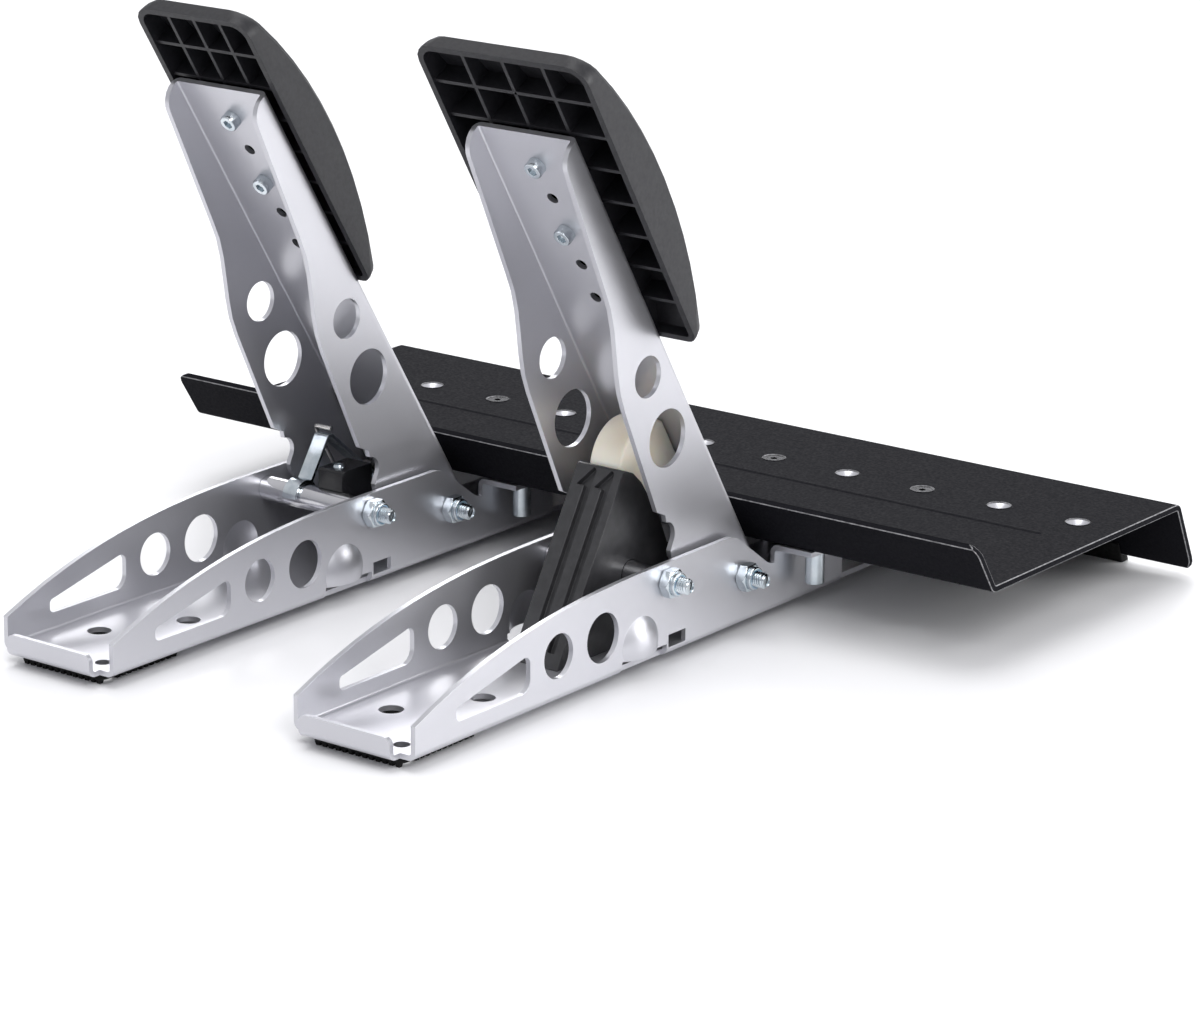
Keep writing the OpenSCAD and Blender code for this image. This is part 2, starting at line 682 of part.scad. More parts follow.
// Folded strip over the hinge sleeve and the cross tube, whose fold carries the spring's leg
module saddle() {
  tube_at = [front_bolt_y, front_bolt_h - hinge_h];
  front_foot = tube_at + (cross_r + fit)*[-sin(25), cos(25)];
  rear_foot = (sleeve_r + fit)*[sin(12), cos(12)];
  translate([saddle_x, 0, hinge_z]) across(saddle_w) difference() {
    union() {
      polygon(folded([front_foot, apex, rear_foot], saddle_t, 1.2));
      intersection() {
        translate(tube_at) circle(r = cross_r + fit + saddle_t);
        polygon([tube_at, tube_at + [-12, 3], tube_at + [-12, 20], tube_at + [14, 20], tube_at + [14, 0]]);
      }
      intersection() {
        circle(r = sleeve_r + fit + saddle_t);
        polygon([[0, 0], [-20, 6], [-20, 20], [14, 20], [14, 3]]);
      }
    }
    translate(tube_at) circle(r = cross_r + fit);
    circle(r = sleeve_r + fit);
  }
}

sensor_x = -arm_w/2 + arm_t + 7 + sensor_w/2;
sensor_front = front_bolt_y + 0.6;
sensor_high = front_bolt_z + sensor_top;
sensor_screw_y = sensor_front - 5.3;
sensor_screw_d = 2.5;

module sensor() {
  low = front_bolt_z - 2;
  translate([sensor_x, 0, 0]) difference() {
    across(sensor_w) polygon(rounded([
      [sensor_front - sensor_l, low, 1], [sensor_front, low, 0.5],
      [sensor_front, sensor_high, 1], [sensor_front - sensor_l, sensor_high, 1]]));
    rod(front_bolt_y, front_bolt_z, cross_r + fit, sensor_w + 2);
    translate([0, sensor_screw_y, sensor_high - 5]) cylinder(d = sensor_screw_d + 2*fit, h = 6);
  }
}

module sensor_screw() {
  translate([sensor_x, sensor_screw_y, sensor_high]) difference() {
    union() {
      cylinder(r1 = 2.3, r2 = 1.8, h = 1.2);
      translate([0, 0, -4.5]) cylinder(d = sensor_screw_d, h = 4.6);
    }
    translate([0, 0, 0.5]) cylinder(d = 1.8, h = 1, $fn = 6);
  }
}

// Magnet on the inner face of the arm's near flange, beside the sensor
module magnet() {
  translate([-arm_w/2 + arm_t + 1, 12, 36]) rotate([0, 90, 0]) cylinder(r = 4, h = 2, center = true);
}

// Elastomer holder, with its front face leaning back to the upper edge
module holder_outline() {
  front_low = holder_edge + (holder_top - floor_z)*tan(holder_lean);
  polygon(rounded([
    [front_low, floor_z, 0], [holder_edge, holder_top, 1.5],
    [holder_edge - 6, holder_top - 2.4, 3], [holder_edge - 11, holder_top - 7, 3],
    [holder_edge - 22, holder_top - 22.5, 3], [holder_edge - 30, holder_top - 40, 3],
    [holder_edge - 30, floor_z, 0]]));
}

// Two grooves with half an arrow head at their upper ends, cut into the front face
module grooves() {
  groove_w = 3.2;
  depth = 2.2;
  run = (holder_top - floor_z)/cos(holder_lean) - 6;
  translate([0, holder_edge, holder_top]) rotate([holder_lean, 0, 0])
    for (x = [-6.9, 1.1]) translate([x, 0, 0]) rotate([90, 0, 0])
      linear_extrude(2*depth, center = true)
        polygon([[0, -run], [groove_w, -run], [groove_w, -8.3], [groove_w + 3.4, -8.3],
          [groove_w*0.4, -1], [0, -2.2]]);
}

module holder() {
  difference() {
    across(holder_w) holder_outline();
    grooves();
    rod(front_bolt_y, front_bolt_z, cross_r + fit, holder_w + 2);
    rod(elastomer_y, elastomer_z, elastomer_r + gap, elastomer_w + 2*gap);
  }
}

module elastomer() {
  difference() {
    rod(elastomer_y, elastomer_z, elastomer_r, elastomer_w);
    translate([0, 0, hinge_z]) rotate([-brake_lean, 0, 0])
      translate([-50, -60 - arm_back + arm_t + gap, 0]) cube([100, 60, 120]);
  }
}

// Heel plate
function plate_path() = [
  [plate_lip_lean - plate_front, plate_z + plate_lip_h],
  [-plate_front, plate_z],
  [-plate_rear, plate_z],
  [-plate_rear - plate_leg_lean, plate_leg_gap]];

module heel_plate() {
  w = plate_len/2;
  difference() {
    intersection() {
      across(plate_len + 2) polygon(folded(plate_path(), plate_t, plate_bend));
      along(-plate_rear - 99, 99) polygon(rounded([
        [-w, 0, plate_leg_gap + 4], [w, 0, plate_leg_gap + 4],
        [w, plate_z + plate_lip_h, 5], [-w, plate_z + plate_lip_h, 5]]));
    }
    for (i = [0:plate_holes - 1], y = row_y)
      translate([(i - (plate_holes - 1)/2)*hole_pitch, y, plate_z - plate_t]) {
        translate([0, 0, -1]) cylinder(r = plate_screw_d/2 + 0.1, h = plate_t + 1);
        translate([0, 0, plate_t - sink_depth])
          cylinder(r1 = plate_screw_d/2 + 0.1, r2 = sink_d/2, h = sink_depth);
        translate([0, 0, plate_t - eps]) cylinder(r = sink_d/2, h = 1);
      }
  }
}

sink_depth = (sink_d - plate_screw_d)/2 - 0.1;
module heel_plate_screws() {
  shank = plate_t + rail_t + post_len - 3;
  for (base = [throttle_x, brake_x], side = [-1, 1], y = row_y)
    translate([base + side*hole_pitch, y, plate_z]) difference() {
      union() {
        translate([0, 0, -sink_depth])
          cylinder(r1 = plate_screw_d/2, r2 = sink_d/2 - 0.1, h = sink_depth - 0.1);
        translate([0, 0, -shank]) cylinder(r = plate_screw_d/2, h = shank - sink_depth + eps);
      }
      translate([0, 0, -1.8]) cylinder(d = plate_screw_d*0.7, h = 3, $fn = 6);
    }
}

// Rubber strip clipped over the lower edge of the rear leg
module heel_plate_strip() {
  grip = strip_skin*6;
  edge = [-plate_rear - plate_leg_lean, plate_leg_gap];
  across(plate_len - 2*strip_margin) difference() {
    intersection() {
      polygon([edge + leg_out*strip_skin - leg_dir*grip, edge + leg_out*strip_skin + leg_dir*2*grip,
        edge - leg_out*(plate_t + strip_skin) + leg_dir*2*grip,
        edge - leg_out*(plate_t + strip_skin) - leg_dir*grip]);
      translate([edge[0] - 2*grip, 0]) square(4*grip);
    }
    polygon([edge - leg_dir*(grip + 1), edge, edge - leg_out*plate_t,
      edge - leg_out*plate_t - leg_dir*(grip + 1)]);
  }
}

color(steel) at_base(throttle_x) rail();  // throttle_rail
color(rubber) at_base(throttle_x) rail_pad();  // throttle_rail_pad
color(bright) at_base(throttle_x) posts();  // throttle_posts
color(bright) at_base(throttle_x) cross_bolt(0, hinge_z);  // throttle_hinge_bolt
color(bright) at_base(throttle_x) tube(0, hinge_z, sleeve_r, bolt_r + fit, 2*rail_in);  // throttle_hinge_sleeve
color(bright) at_base(throttle_x) cross_bolt(front_bolt_y, front_bolt_z);  // throttle_front_bolt
color(bright) at_base(throttle_x) tube(front_bolt_y, front_bolt_z, cross_r, bolt_r + fit, 2*rail_in);  // throttle_cross_tube
color(bright) at_base(throttle_x) {  // throttle_nuts
  nut(0, hinge_z);
  nut(front_bolt_y, front_bolt_z);
}
color(bright) at_base(throttle_x) washers();  // throttle_washers
color(black) on_arm(throttle_x, throttle_lean) bushes();  // throttle_bushes
color(steel) on_arm(throttle_x, throttle_lean) arm();  // throttle_arm
color(black) on_arm(throttle_x, throttle_lean) pad(throttle_pad_w);  // throttle_pad
color(bright) on_arm(throttle_x, throttle_lean) pad_screws();  // throttle_pad_screws
color(bright) on_arm(throttle_x, throttle_lean) spring();  // throttle_spring
color(bright) at_base(throttle_x) saddle();  // throttle_spring_saddle
color(black) at_base(throttle_x) sensor();  // throttle_sensor
color(bright) at_base(throttle_x) sensor_screw();  // throttle_sensor_screw
color(bright) on_arm(throttle_x, throttle_lean) magnet();  // throttle_magnet
color(steel) at_base(brake_x) rail();  // brake_rail
color(rubber) at_base(brake_x) rail_pad();  // brake_rail_pad
color(bright) at_base(brake_x) posts();  // brake_posts
color(bright) at_base(brake_x) cross_bolt(0, hinge_z);  // brake_hinge_bolt
color(bright) at_base(brake_x) tube(0, hinge_z, sleeve_r, bolt_r + fit, 2*rail_in);  // brake_hinge_sleeve
color(bright) at_base(brake_x) cross_bolt(front_bolt_y, front_bolt_z);  // brake_front_bolt
color(bright) at_base(brake_x) tube(front_bolt_y, front_bolt_z, cross_r, bolt_r + fit, 2*rail_in);  // brake_cross_tube
color(bright) at_base(brake_x) {  // brake_nuts
  nut(0, hinge_z);
  nut(front_bolt_y, front_bolt_z);
}
color(bright) at_base(brake_x) washers();  // brake_washers
color(black) on_arm(brake_x, brake_lean) bushes();  // brake_bushes
color(steel) on_arm(brake_x, brake_lean) arm();  // brake_arm
color(black) on_arm(brake_x, brake_lean) pad(brake_pad_w);  // brake_pad
color(bright) on_arm(brake_x, brake_lean) pad_screws();  // brake_pad_screws
color(black) at_base(brake_x) holder();  // brake_holder
color(cream) at_base(brake_x) elastomer();  // brake_elastomer
color(black) at_base(0) heel_plate();
color(black) at_base(0) heel_plate_screws();
color(rubber) at_base(0) heel_plate_strip();
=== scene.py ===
import bpy
import json
from math import cos, sin, pi, radians, sqrt
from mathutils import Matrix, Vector


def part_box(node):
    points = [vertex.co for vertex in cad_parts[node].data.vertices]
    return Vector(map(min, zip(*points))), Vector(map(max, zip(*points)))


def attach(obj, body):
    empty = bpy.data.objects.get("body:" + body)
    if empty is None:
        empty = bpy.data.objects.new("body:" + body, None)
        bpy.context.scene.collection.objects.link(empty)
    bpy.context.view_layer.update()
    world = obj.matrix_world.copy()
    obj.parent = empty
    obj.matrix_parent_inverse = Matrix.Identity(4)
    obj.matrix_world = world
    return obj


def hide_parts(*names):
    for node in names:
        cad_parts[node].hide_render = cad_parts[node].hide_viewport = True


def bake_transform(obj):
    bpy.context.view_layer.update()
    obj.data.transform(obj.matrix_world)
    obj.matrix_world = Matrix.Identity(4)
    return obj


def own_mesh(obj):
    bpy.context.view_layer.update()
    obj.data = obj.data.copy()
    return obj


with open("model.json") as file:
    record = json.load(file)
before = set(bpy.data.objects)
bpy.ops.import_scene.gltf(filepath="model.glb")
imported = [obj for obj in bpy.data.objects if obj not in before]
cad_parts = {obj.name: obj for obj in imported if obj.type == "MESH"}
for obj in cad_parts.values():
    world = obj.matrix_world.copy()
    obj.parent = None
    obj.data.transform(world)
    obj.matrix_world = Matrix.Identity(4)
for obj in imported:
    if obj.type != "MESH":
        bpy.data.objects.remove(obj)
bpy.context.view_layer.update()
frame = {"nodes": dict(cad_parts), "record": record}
mm = 0.001

# places read off the frame's own nodes
def middleOf(nodeName):
    low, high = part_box(nodeName)
    return (Vector(low) + Vector(high))/2

pedals = {
    "throttle": {"body": "throttle_pedal", "lean": radians(32.6)},
    "brake": {"body": "brake_pedal", "lean": radians(31.8)},
}
railHalf = 27.3*mm  # half the outside width of a rail
holePitch = 35*mm
for side, pedal in pedals.items():
    pedal["hinge"] = middleOf(side + "_hinge_sleeve")
    pedal["front"] = middleOf(side + "_cross_tube")


# camera: fitted to the photograph, long lens from in front of the brake's side
cameraView = {"place": (-1.01558, 1.284552, 0.53115), "aim": (0.59703, -0.75343, -0.27549),
              "lens": 134.98, "shiftX": 0.07514, "shiftY": -0.06338}

def makeCamera(view):
    aim = Vector(view["aim"])
    bpy.ops.object.camera_add(location=view["place"], rotation=aim.to_track_quat("-Z", "Y").to_euler())
    camera = bpy.context.object
    camera.name = "photoCamera"
    camera.data.lens = view["lens"]
    camera.data.sensor_width = 36
    camera.data.shift_x = view["shiftX"]
    camera.data.shift_y = view["shiftY"]
    bpy.context.scene.camera = camera

makeCamera(cameraView)
print("camera placed")


# working helpers
def deselect():
    if bpy.context.object and bpy.context.object.mode != "OBJECT":
        bpy.ops.object.mode_set(mode="OBJECT")
    bpy.ops.object.select_all(action="DESELECT")


def activate(piece, *others):
    deselect()
    for other in others:
        other.select_set(True)
    piece.select_set(True)
    bpy.context.view_layer.objects.active = piece


def applyModifier(piece, kind, **settings):
    activate(piece)
    modifier = piece.modifiers.new(kind.title(), kind)
    for key, value in settings.items():
        setattr(modifier, key, value)
    bpy.ops.object.modifier_apply(modifier=modifier.name)


def roundEdges(piece, width, segments=2, angle=35, edgeSlot=-1):
    # edgeSlot: the eased faces' own material, used for the heel plate's painted edge highlight; their width
    # is then kept at the tightest corners too
    applyModifier(piece, "BEVEL", width=width, segments=segments, limit_method="ANGLE", material=edgeSlot,
                  angle_limit=radians(angle), use_clamp_overlap=edgeSlot < 0, miter_outer="MITER_ARC")


def smooth(piece, angle=32):
    activate(piece)
    bpy.ops.object.shade_smooth_by_angle(angle=radians(angle))


def bakePlace(piece):
    activate(piece)
    bpy.ops.object.transform_apply(location=True, rotation=True, scale=True)


def fixNormals(piece):
    activate(piece)
    bpy.ops.object.mode_set(mode="EDIT")
    bpy.ops.mesh.select_all(action="SELECT")
    bpy.ops.mesh.remove_doubles(threshold=0.004*mm)
    bpy.ops.mesh.normals_make_consistent(inside=False)
    bpy.ops.object.mode_set(mode="OBJECT")


def joinAll(pieces, name):
    activate(pieces[0], *pieces[1:])
    if len(pieces) > 1:
        bpy.ops.object.join()
    piece = bpy.context.object
    piece.name = name
    piece.data.name = name
    return piece


def duplicate(piece, place):
    copy = piece.copy()
    copy.data = piece.data.copy()
    bpy.context.collection.objects.link(copy)
    copy.location = place
    bakePlace(copy)
    return copy


def cutAway(piece, cutter, operation="DIFFERENCE"):
    applyModifier(piece, "BOOLEAN", object=cutter, operation=operation, solver="EXACT")
    bpy.data.objects.remove(cutter)


def cylinder(radius, low, high, sides=48, axis="X", tip=None):
    bpy.ops.mesh.primitive_cone_add(vertices=sides, radius1=radius, radius2=radius if tip is None else tip,
                                    depth=high - low, location=(0, 0, (low + high)/2))
    bpy.ops.object.transform_apply(location=True, rotation=True, scale=True)
    piece = bpy.context.object
    if axis == "X":
        piece.rotation_euler = (0, pi/2, 0)
        bakePlace(piece)
    return piece


def onArm(piece, pedal):
    # a piece drawn upright about the hinge is leaned forward and moved to its hinge
    piece.rotation_euler = (-pedal["lean"], 0, 0)
    piece.location = pedal["hinge"]
    bakePlace(piece)


# materials
def startMaterial(name, look):
    material = bpy.data.materials.new(name)
    material.use_nodes = True
    tree = material.node_tree
    shader = tree.nodes["Principled BSDF"]
    for socket, value in look["shader"].items():
        shader.inputs[socket].default_value = value
    place = tree.nodes.new("ShaderNodeTexCoord")
    return material, tree, shader, place.outputs["Object"]


def addNoise(tree, place, scale, detail=3):
    noise = tree.nodes.new("ShaderNodeTexNoise")
    noise.inputs["Scale"].default_value = scale
    noise.inputs["Detail"].default_value = detail
    tree.links.new(place, noise.inputs["Vector"])
    return noise.outputs["Fac"]


noiseSpan = (0.3, 0.7)  # the part of a noise's range that carries its change


def tint(tree, factor, shader, darkColor, paleColor):
    ramp = tree.nodes.new("ShaderNodeValToRGB")
    ramp.color_ramp.elements[0].position, ramp.color_ramp.elements[1].position = noiseSpan
    ramp.color_ramp.elements[0].color = (*darkColor, 1)
    ramp.color_ramp.elements[1].color = (*paleColor, 1)
    tree.links.new(factor, ramp.inputs["Fac"])
    tree.links.new(ramp.outputs["Color"], shader.inputs["Base Color"])


def varyRoughness(tree, factor, shader, low, high):
    spread = tree.nodes.new("ShaderNodeMapRange")
    spread.inputs["From Min"].default_value = noiseSpan[0]
    spread.inputs["From Max"].default_value = noiseSpan[1]
    spread.inputs["To Min"].default_value = low
    spread.inputs["To Max"].default_value = high
    tree.links.new(factor, spread.inputs["Value"])
    tree.links.new(spread.outputs["Result"], shader.inputs["Roughness"])


def addBumps(tree, shader, layers):
    # each layer is (height, strength, depth); the first lies under the next
    normal = None
    for height, strength, depth in layers:
        bump = tree.nodes.new("ShaderNodeBump")
        bump.inputs["Strength"].default_value = strength
        bump.inputs["Distance"].default_value = depth
        tree.links.new(height, bump.inputs["Height"])
        if normal:
            tree.links.new(normal, bump.inputs["Normal"])
        normal = bump.outputs["Normal"]
    tree.links.new(normal, shader.inputs["Normal"])


zincSteelLook = {"shader": {"Metallic": 0.82, "Roughness": 0.34},
                 "dark": (0.56, 0.56, 0.59), "pale": (0.60, 0.60, 0.635),
                 "cloud": 9, "roughScale": 30, "roughness": (0.31, 0.37), "grain": 2600}
brightZincLook = {"shader": {"Metallic": 1.0, "Roughness": 0.2},
                  "dark": (0.50, 0.56, 0.60), "pale": (0.70, 0.75, 0.78),
                  "cloud": 160, "roughScale": 420, "roughness": (0.12, 0.26), "grain": 3000}
chromeLook = {"shader": {"Metallic": 1.0, "Roughness": 0.12},
              "dark": (0.56, 0.56, 0.58), "pale": (0.62, 0.62, 0.64),
              "cloud": 60, "roughScale": 300, "roughness": (0.09, 0.16), "grain": 3500}
springWireLook = {"shader": {"Metallic": 1.0, "Roughness": 0.22},
                  "dark": (0.58, 0.57, 0.55), "pale": (0.74, 0.72, 0.69),
                  "cloud": 240, "roughScale": 600, "roughness": (0.16, 0.28), "grain": 3500}
powderLook = {"shader": {"Roughness": 0.7, "Specular IOR Level": 0.035},
              "dark": (0.0055, 0.0055, 0.0075), "pale": (0.010, 0.010, 0.0125),
              "cloud": 1500, "roughScale": 900, "roughness": (0.55, 0.75), "grain": 1300, "pores": 2400}
# the eased edges of the powder coat in a much lighter grey: painted edge highlight, not a colour the coat
# has
paintedHighlightLook = {"shader": {"Roughness": 0.45, "Specular IOR Level": 0.4},
                  "dark": (0.08, 0.08, 0.085), "pale": (0.30, 0.30, 0.31),
                  "cloud": 700, "roughScale": 900, "roughness": (0.40, 0.55), "grain": 1300}
padPlasticLook = {"shader": {"Roughness": 0.45, "Specular IOR Level": 0.42},
                  "dark": (0.008, 0.008, 0.010), "pale": (0.014, 0.014, 0.017),
                  "cloud": 700, "roughScale": 500, "roughness": (0.40, 0.52), "grain": 1900}
glossPlasticLook = {"shader": {"Roughness": 0.16, "Specular IOR Level": 0.4},
                    "dark": (0.006, 0.006, 0.007), "pale": (0.012, 0.012, 0.014),
                    "cloud": 90, "roughScale": 220, "roughness": (0.12, 0.22), "grain": 400}
blackZincLook = {"shader": {"Metallic": 0.9, "Roughness": 0.28},
                 "dark": (0.035, 0.035, 0.038), "pale": (0.07, 0.07, 0.075),
                 "cloud": 400, "roughScale": 500, "roughness": (0.22, 0.34), "grain": 1500}
holderLook = {"shader": {"Roughness": 0.36, "Specular IOR Level": 0.6},
              "dark": (0.022, 0.022, 0.024), "pale": (0.034, 0.034, 0.037),
              "cloud": 300, "roughScale": 260, "roughness": (0.30, 0.42), "grain": 1700}
rubberLook = {"shader": {"Roughness": 0.75, "Specular IOR Level": 0.15},
              "dark": (0.007, 0.007, 0.007), "pale": (0.015, 0.015, 0.015),
              "cloud": 500, "roughScale": 300, "roughness": (0.62, 0.85), "grain": 1600}
bushLook = {"shader": {"Roughness": 0.4}, "dark": (0.02, 0.02, 0.022), "pale": (0.04, 0.04, 0.042),
            "cloud": 200, "roughScale": 300, "roughness": (0.32, 0.46), "grain": 1500}
elastomerLook = {"shader": {"Roughness": 0.38, "Subsurface Weight": 0.35, "Subsurface Scale": 0.006,
                            "Subsurface Radius": (1.0, 0.55, 0.3), "Specular IOR Level": 0.4},
                 "dark": (0.95, 0.83, 0.66), "pale": (0.99, 0.93, 0.82),
                 "cloud": 45, "roughScale": 160, "roughness": (0.30, 0.44), "grain": 700}
nylonLook = {"shader": {"Roughness": 0.35, "Subsurface Weight": 0.2, "Subsurface Scale": 0.001},
             "dark": (0.32, 0.46, 0.60), "pale": (0.46, 0.60, 0.72),
             "cloud": 500, "roughScale": 500, "roughness": (0.3, 0.42), "grain": 1200}


def finishMaterial(name, look, grainStrength=0.12, grainDepth=0.05*mm):
    material, tree, shader, place = startMaterial(name, look)
    tint(tree, addNoise(tree, place, look["cloud"]), shader, look["dark"], look["pale"])
    varyRoughness(tree, addNoise(tree, place, look["roughScale"]), shader, *look["roughness"])
    layers = [(addNoise(tree, place, look["grain"], 2), grainStrength, grainDepth)]
    if "pores" in look:  # orange peel over the powder's grain
        layers.append((addNoise(tree, place, look["pores"], 1), 0.35, 0.06*mm))
    addBumps(tree, shader, layers)
    return material


materials = {
    "zinc_steel": finishMaterial("satinZincSteel", zincSteelLook, 0.06, 0.02*mm),
    "bright_zinc": finishMaterial("blueZinc", brightZincLook, 0.08),
    "spring_wire": finishMaterial("springWire", springWireLook, 0.06),
    "powder_black": finishMaterial("texturedPowderCoat", powderLook, 0.32, 0.08*mm),
    "coatEdgeHighlight": finishMaterial("paintedEdgeHighlight", paintedHighlightLook, 0.2),
    "pad_plastic": finishMaterial("grainedPadPlastic", padPlasticLook, 0.30, 0.05*mm),
    "gloss_black": finishMaterial("glossyMoulding", glossPlasticLook, 0.04),
    "bush_plastic": finishMaterial("bushPlastic", bushLook),
    "rubber_black": finishMaterial("mattRubber", rubberLook, 0.35, 0.08*mm),
    "elastomer_cream": finishMaterial("creamElastomer", elastomerLook, 0.06),
    "nylon": finishMaterial("nylonInsert", nylonLook),
    "chrome": finishMaterial("polishedTube", chromeLook, 0.03, 0.02*mm),
    "black_zinc": finishMaterial("blackZinc", blackZincLook, 0.08),
    "holder": finishMaterial("satinMoulding", holderLook, 0.12, 0.04*mm),
}
slotOf = {entry["node"]: entry["material_slot"] for entry in frame["record"]["subparts"]}
for nodeName, node in frame["nodes"].items():
    node.data.materials.clear()
    node.data.materials.append(materials[slotOf[nodeName]])
print("materials made")


def settle(piece, body, nodeName):
    # dress a finished piece, fasten it to its body and let it stand for its node
    slotName = slotOf[nodeName]
    if not piece.data.materials:
        piece.data.materials.append(materials[slotName])
    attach(piece, body)
    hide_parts(nodeName)


overlapLimit = -0.001*mm*mm  # twice the area, turned over, that counts as folded


def refillFolded(piece):
    # a flat face whose own triangles overlap is taken out and filled anew
    mesh = piece.data
    mesh.calc_loop_triangles()
    folded = set()
    for triangle in mesh.loop_triangles:
        a, b, c = (mesh.vertices[i].co for i in triangle.vertices)
        if (b - a).cross(c - a).dot(mesh.polygons[triangle.polygon_index].normal) < overlapLimit:
            folded.add(triangle.polygon_index)
    for index in sorted(folded, reverse=True):
        activate(piece)
        for part in (mesh.vertices, mesh.edges, mesh.polygons):
            for item in part:
                item.select = False
        rim = set(mesh.polygons[index].edge_keys)
        mesh.polygons[index].select = True
        bpy.ops.object.mode_set(mode="EDIT")
        bpy.ops.mesh.select_mode(type="FACE")
        bpy.ops.mesh.delete(type="ONLY_FACE")
        bpy.ops.mesh.select_mode(type="EDGE")
        bpy.ops.mesh.select_all(action="DESELECT")
        bpy.ops.object.mode_set(mode="OBJECT")
        for edge in mesh.edges:
            edge.select = edge.key in rim
        bpy.ops.object.mode_set(mode="EDIT")
        bpy.ops.mesh.fill()
        bpy.ops.mesh.select_mode(type="VERT")
        bpy.ops.object.mode_set(mode="OBJECT")


# sheet parts and mouldings: a copy of the frame's solid with its edges eased
copied = {"merge": 0.002*mm, "flat": radians(0.6)}  # doubles this near and faces this flat become one


def easedCopy(nodeName, pieceName, width, segments=2, looks=()):
    # looks: the body's material, then the eased edges' own, which on the heel plate is a lighter grey
    # painted edge highlight
    piece = frame["nodes"][nodeName].copy()
    piece.data = piece.data.copy()
    piece.parent = None
    for key in list(piece.keys()):
        del piece[key]
    bpy.context.collection.objects.link(piece)
    piece.name = pieceName
    piece.data.name = pieceName
    piece.data.materials.clear()
    for look in looks:
        piece.data.materials.append(materials[look])
    activate(piece)
    bpy.ops.object.mode_set(mode="EDIT")
    bpy.ops.mesh.select_all(action="SELECT")
    bpy.ops.mesh.remove_doubles(threshold=copied["merge"])
    bpy.ops.mesh.dissolve_limited(angle_limit=copied["flat"])
    bpy.ops.object.mode_set(mode="OBJECT")
    roundEdges(piece, width, segments, edgeSlot=1 if len(looks) > 1 else -1)
    refillFolded(piece)
    smooth(piece)
    applyModifier(piece, "WEIGHTED_NORMAL", keep_sharp=True, weight=100)
    return piece


easedParts = {  # node ending: (piece ending, width of the eased edge, segments)
    "rail": ("RailSheet", 0.35*mm, 2), "arm": ("ArmSheet", 0.35*mm, 2), "pad": ("FootPad", 0.5*mm, 2),
    "posts": ("Posts", 0.35*mm, 2), "washers": ("Spacers", 0.15*mm, 1), "bushes": ("Bushes", 0.15*mm, 1),
    "cross_tube": ("CrossTube", 0.3*mm, 2), "hinge_sleeve": ("HingeSleeve", 0.3*mm, 2),
}
for side, pedal in pedals.items():
    for ending, (pieceEnding, width, segments) in easedParts.items():
        nodeName = side + "_" + ending
        body = pedal["body"] if ending in ("arm", "pad", "bushes") else "frame"
        piece = easedCopy(nodeName, side + pieceEnding, width, segments)
        if ending == "cross_tube":
            piece.data.materials.append(materials["chrome"])
        settle(piece, body, nodeName)
for nodeName, pieceName, body, width in (
        ("heel_plate_strip", "heelPlateEdging", "frame", 0.5*mm),
        ("throttle_spring_saddle", "springSaddle", "frame", 0.3*mm),
        ("throttle_sensor", "sensorBox", "frame", 0.5*mm),
        ("throttle_magnet", "sensorMagnet", "throttle_pedal", 0.2*mm)):
    settle(easedCopy(nodeName, pieceName, width), body, nodeName)

holder = easedCopy("brake_holder", "elastomerHolder", 0.5*mm)
holder.data.materials.append(materials["holder"])
settle(holder, "frame", "brake_holder")

# heel plate: the powder coat is cut away in the countersinks
screwLow, screwHigh = (Vector(corner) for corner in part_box("heel_plate_screws"))
screwHeadHalf = 4.6*mm
# tilts and depths: how a countersink's faces lean and how far under the top they lie
plateHoles = {"count": 11, "rows": (screwLow.y + screwHeadHalf, screwHigh.y - screwHeadHalf),
              "reach": 4.75*mm, "top": screwHigh.z + 0.1*mm,
              "tilts": (0.3, 0.97), "depths": (0.15*mm, 2.2*mm)}
plateBead = {"behind": 87*mm, "half": 174*mm, "wide": 1.8*mm, "high": 0.6*mm, "round": 0.98, "sunk": 0.1*mm}


def pressBead(plate, look):
    # a shallow bead along the plate, round at its ends
    reach = look["half"] - look["wide"]
    bead = cylinder(look["wide"], -reach, reach, 24)
    roundEdges(bead, look["wide"]*look["round"], 4)
    for vertex in bead.data.vertices:
        vertex.co.z *= look["high"]*2/look["wide"]
    bead.location = (0, pedals["brake"]["hinge"].y - look["behind"],
                     plateHoles["top"] - look["sunk"] - look["high"])
    bakePlace(bead)
    cutAway(plate, bead, "UNION")
    refillFolded(plate)
    smooth(plate)
    applyModifier(plate, "WEIGHTED_NORMAL", keep_sharp=True, weight=100)


def bareCountersinks(plate, look):
    plate.data.materials.append(materials["zinc_steel"])
    places = [(i - (look["count"] - 1)/2)*holePitch for i in range(look["count"])]
    spots = [(x, y) for x in places for y in look["rows"]]
    steepest, flattest = look["tilts"]
    shallow, deep = look["depths"]
    for face in plate.data.polygons:
        middle = face.center
        if steepest < face.normal.z < flattest and look["top"] - deep < middle.z < look["top"] - shallow:
            if any((middle.x - x)**2 + (middle.y - y)**2 < look["reach"]**2 for x, y in spots):
                face.material_index = len(plate.data.materials) - 1


# the plate's eased edges take the lighter grey: painted edge highlight
heelPlate = easedCopy("heel_plate", "heelPlateSheet", 0.3*mm, looks=("powder_black", "coatEdgeHighlight"))
pressBead(heelPlate, plateBead)
bareCountersinks(heelPlate, plateHoles)
settle(heelPlate, "frame", "heel_plate")
print("sheets and mouldings eased")


